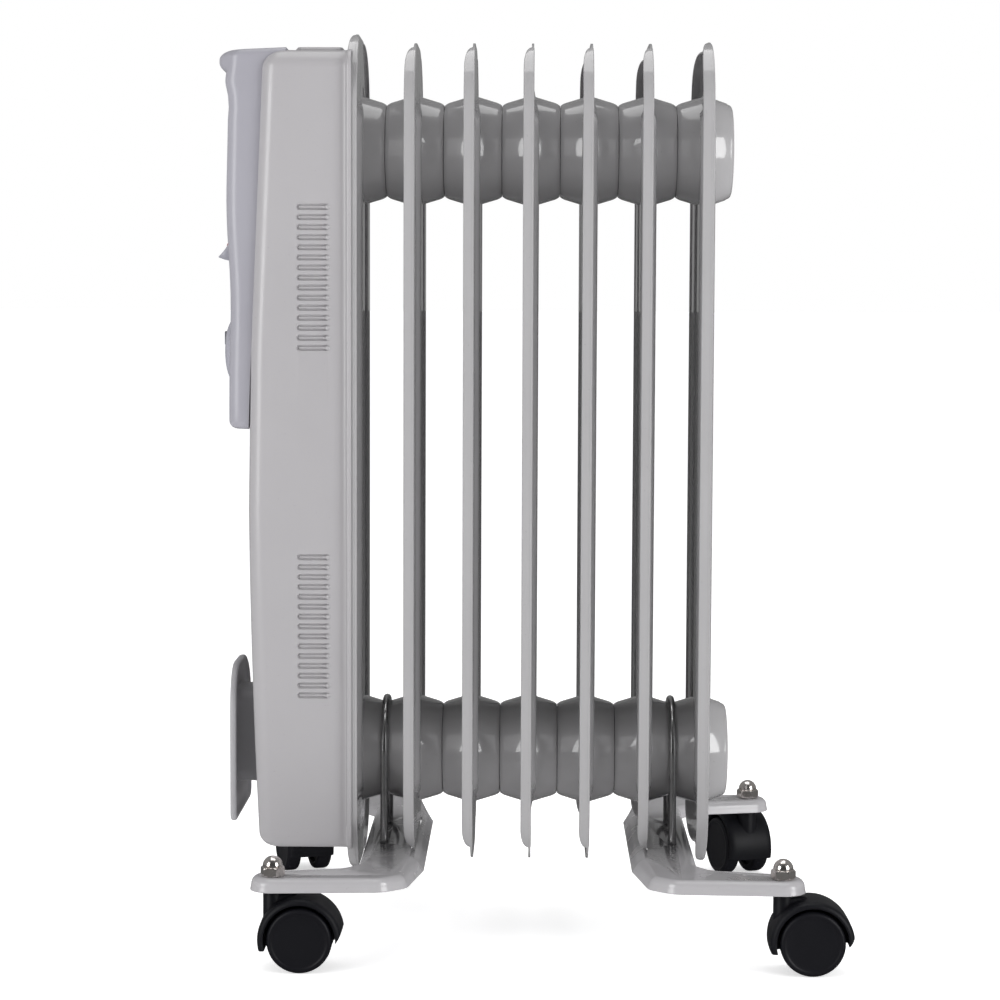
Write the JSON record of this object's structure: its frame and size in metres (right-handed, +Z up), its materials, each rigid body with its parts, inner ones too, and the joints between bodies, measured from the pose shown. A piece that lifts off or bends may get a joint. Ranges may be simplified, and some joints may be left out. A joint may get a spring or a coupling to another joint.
{
  "type": "oil filled radiator heater",
  "caption": "Free-standing oil filled radiator: pressed steel fins on two header barrels, a control housing with knob and rockers, and two clamped feet on twin-wheel casters.",
  "frame": {"origin": "centre of the bounding box at floor level, under the heater", "axes": "+Z up; -X towards the control panel (front), +X towards the last fin (rear); -Y is the right-hand side of someone facing the panel"},
  "size_m": [0.441, 0.3562, 0.637],
  "materials": {
    "enamel": "glossy light grey stoved enamel",
    "housing_paint": "satin light grey powder coat",
    "panel_plastic": "satin lilac-grey moulded plastic",
    "wrap_plastic": "fine-textured grey moulded plastic",
    "caster_plastic": "matte black moulded plastic",
    "chrome": "bright nickel plate",
    "zinc_steel": "zinc-plated steel",
    "brass": "machined brass",
    "red_lens": "clear red moulded lens",
    "black_plastic": "black moulded plastic",
    "rubber": "black rubber"
  },
  "bodies": {
    "root": {"fin_1": "enamel", "fin_2": "enamel", "fin_3": "enamel", "fin_4": "enamel", "fin_5": "enamel", "fin_6": "enamel", "fin_7": "enamel", "heating_element": "zinc_steel", "element_flange": "brass", "filler_plug": "zinc_steel", "housing": "housing_paint", "back_plate": "zinc_steel", "housing_screw": "zinc_steel", "top_strip": "housing_paint", "cord_grommet": "rubber", "terminal_block": "black_plastic", "thermal_cutout": "black_plastic", "control_panel": "panel_plastic", "thermostat": "black_plastic", "switch_body_1": "black_plastic", "switch_body_2": "black_plastic", "indicator_lens": "red_lens", "cord_wrap": "wrap_plastic", "foot_front": "enamel", "u_bolt_front": "chrome", "wing_nut_front_right": "zinc_steel", "wing_nut_front_left": "zinc_steel", "foot_rear": "enamel", "u_bolt_rear": "chrome", "wing_nut_rear_right": "zinc_steel", "wing_nut_rear_left": "zinc_steel", "stem_front_right": "zinc_steel", "nut_front_right": "chrome", "stem_rear_right": "zinc_steel", "nut_rear_right": "chrome", "stem_front_left": "zinc_steel", "nut_front_left": "chrome", "stem_rear_left": "zinc_steel", "nut_rear_left": "chrome"},
    "caster_front_right": {"hood_front_right": "caster_plastic", "axle_front_right": "zinc_steel"},
    "wheel_front_right_a": {"wheel_front_right_a": "caster_plastic"},
    "wheel_front_right_b": {"wheel_front_right_b": "caster_plastic"},
    "caster_rear_right": {"hood_rear_right": "caster_plastic", "axle_rear_right": "zinc_steel"},
    "wheel_rear_right_a": {"wheel_rear_right_a": "caster_plastic"},
    "wheel_rear_right_b": {"wheel_rear_right_b": "caster_plastic"},
    "caster_front_left": {"hood_front_left": "caster_plastic", "axle_front_left": "zinc_steel"},
    "wheel_front_left_a": {"wheel_front_left_a": "caster_plastic"},
    "wheel_front_left_b": {"wheel_front_left_b": "caster_plastic"},
    "caster_rear_left": {"hood_rear_left": "caster_plastic", "axle_rear_left": "zinc_steel"},
    "wheel_rear_left_a": {"wheel_rear_left_a": "caster_plastic"},
    "wheel_rear_left_b": {"wheel_rear_left_b": "caster_plastic"},
    "knob": {"knob": "panel_plastic", "thermostat_spindle": "zinc_steel"},
    "rocker_1": {"rocker_1": "panel_plastic"},
    "rocker_2": {"rocker_2": "panel_plastic"}
  },
  "joints": [
    {"name": "swivel_front_right", "type": "hinge", "parent": "root", "child": "caster_front_right", "pos_m": [-0.17053, -0.16012, 0.05], "axis": [0, 0, 1], "continuous": true},
    {"name": "roll_front_right_a", "type": "hinge", "parent": "caster_front_right", "child": "wheel_front_right_a", "pos_m": [-0.15153, -0.16012, 0.022], "axis": [0, 1, 0], "continuous": true},
    {"name": "roll_front_right_b", "type": "hinge", "parent": "caster_front_right", "child": "wheel_front_right_b", "pos_m": [-0.15153, -0.16012, 0.022], "axis": [0, 1, 0], "continuous": true},
    {"name": "swivel_rear_right", "type": "hinge", "parent": "root", "child": "caster_rear_right", "pos_m": [0.17347, -0.16012, 0.05], "axis": [0, 0, 1], "continuous": true},
    {"name": "roll_rear_right_a", "type": "hinge", "parent": "caster_rear_right", "child": "wheel_rear_right_a", "pos_m": [0.19247, -0.16012, 0.022], "axis": [0, 1, 0], "continuous": true},
    {"name": "roll_rear_right_b", "type": "hinge", "parent": "caster_rear_right", "child": "wheel_rear_right_b", "pos_m": [0.19247, -0.16012, 0.022], "axis": [0, 1, 0], "continuous": true},
    {"name": "swivel_front_left", "type": "hinge", "parent": "root", "child": "caster_front_left", "pos_m": [-0.17053, 0.12788, 0.05], "axis": [0, 0, 1], "continuous": true},
    {"name": "roll_front_left_a", "type": "hinge", "parent": "caster_front_left", "child": "wheel_front_left_a", "pos_m": [-0.17703, 0.14573, 0.022], "axis": [-0.9397, -0.342, 0], "continuous": true},
    {"name": "roll_front_left_b", "type": "hinge", "parent": "caster_front_left", "child": "wheel_front_left_b", "pos_m": [-0.17703, 0.14573, 0.022], "axis": [-0.9397, -0.342, 0], "continuous": true},
    {"name": "swivel_rear_left", "type": "hinge", "parent": "root", "child": "caster_rear_left", "pos_m": [0.17347, 0.12788, 0.05], "axis": [0, 0, 1], "continuous": true},
    {"name": "roll_rear_left_a", "type": "hinge", "parent": "caster_rear_left", "child": "wheel_rear_left_a", "pos_m": [0.16697, 0.14573, 0.022], "axis": [-0.9397, -0.342, 0], "continuous": true},
    {"name": "roll_rear_left_b", "type": "hinge", "parent": "caster_rear_left", "child": "wheel_rear_left_b", "pos_m": [0.16697, 0.14573, 0.022], "axis": [-0.9397, -0.342, 0], "continuous": true},
    {"name": "thermostat_turn", "type": "hinge", "parent": "root", "child": "knob", "pos_m": [-0.20953, -0.01612, 0.414], "axis": [-1, 0, 0], "range_deg": [-270, 0]},
    {"name": "rocker_1_tilt", "type": "hinge", "parent": "root", "child": "rocker_1", "pos_m": [-0.20553, -0.03312, 0.487], "axis": [0, -1, 0], "range_deg": [0, 14]},
    {"name": "rocker_2_tilt", "type": "hinge", "parent": "root", "child": "rocker_2", "pos_m": [-0.20553, 0.00088, 0.487], "axis": [0, -1, 0], "range_deg": [0, 14]}
  ]
}
